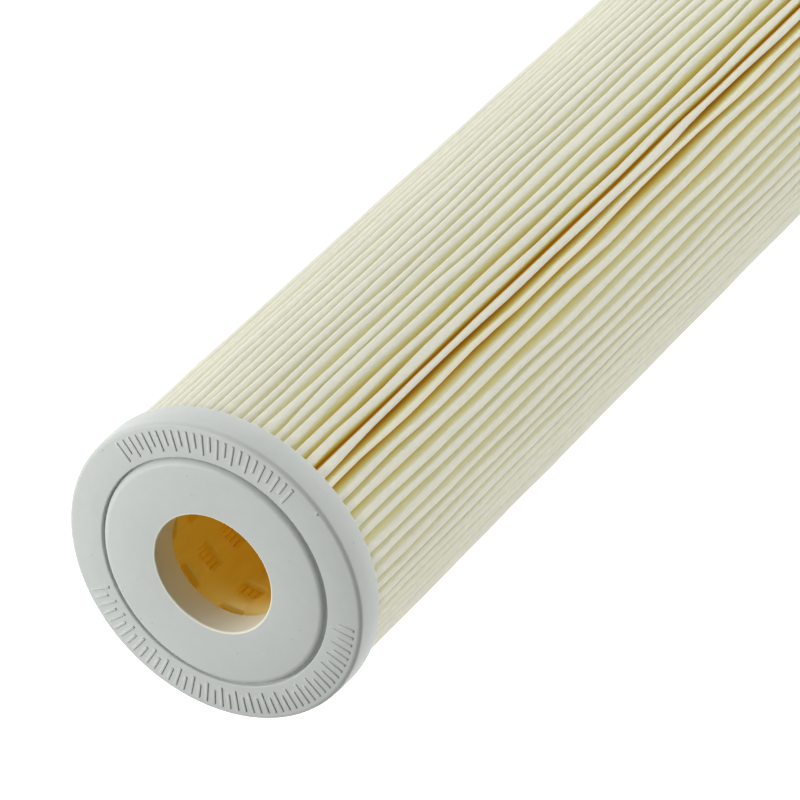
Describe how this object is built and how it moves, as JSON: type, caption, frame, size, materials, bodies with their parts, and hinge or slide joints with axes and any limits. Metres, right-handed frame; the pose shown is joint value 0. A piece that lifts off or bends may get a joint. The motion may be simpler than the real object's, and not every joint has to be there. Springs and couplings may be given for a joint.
{
  "type": "filter cartridge",
  "caption": "Straight cylindrical filter cartridge: pleated paper round a perforated core tube, both ends potted in soft moulded end caps with an open central bore.",
  "frame": {"origin": "centre of the lower sealing face, on the cartridge's axis", "axes": "+Z along the cartridge's axis, from the lower end cap to the upper; -Y faces the side with the paper's side seam"},
  "size_m": [0.0684, 0.0684, 0.2476],
  "materials": {
    "cap_vinyl": "satin",
    "core_plastic": "satin",
    "filter_paper": "matte",
    "seam_adhesive": "satin"
  },
  "bodies": {
    "root": {"upper_end_cap": "cap_vinyl", "lower_end_cap": "cap_vinyl", "core_tube": "core_plastic", "pleated_media": "filter_paper", "seam_adhesive": "seam_adhesive"}
  },
  "joints": []
}
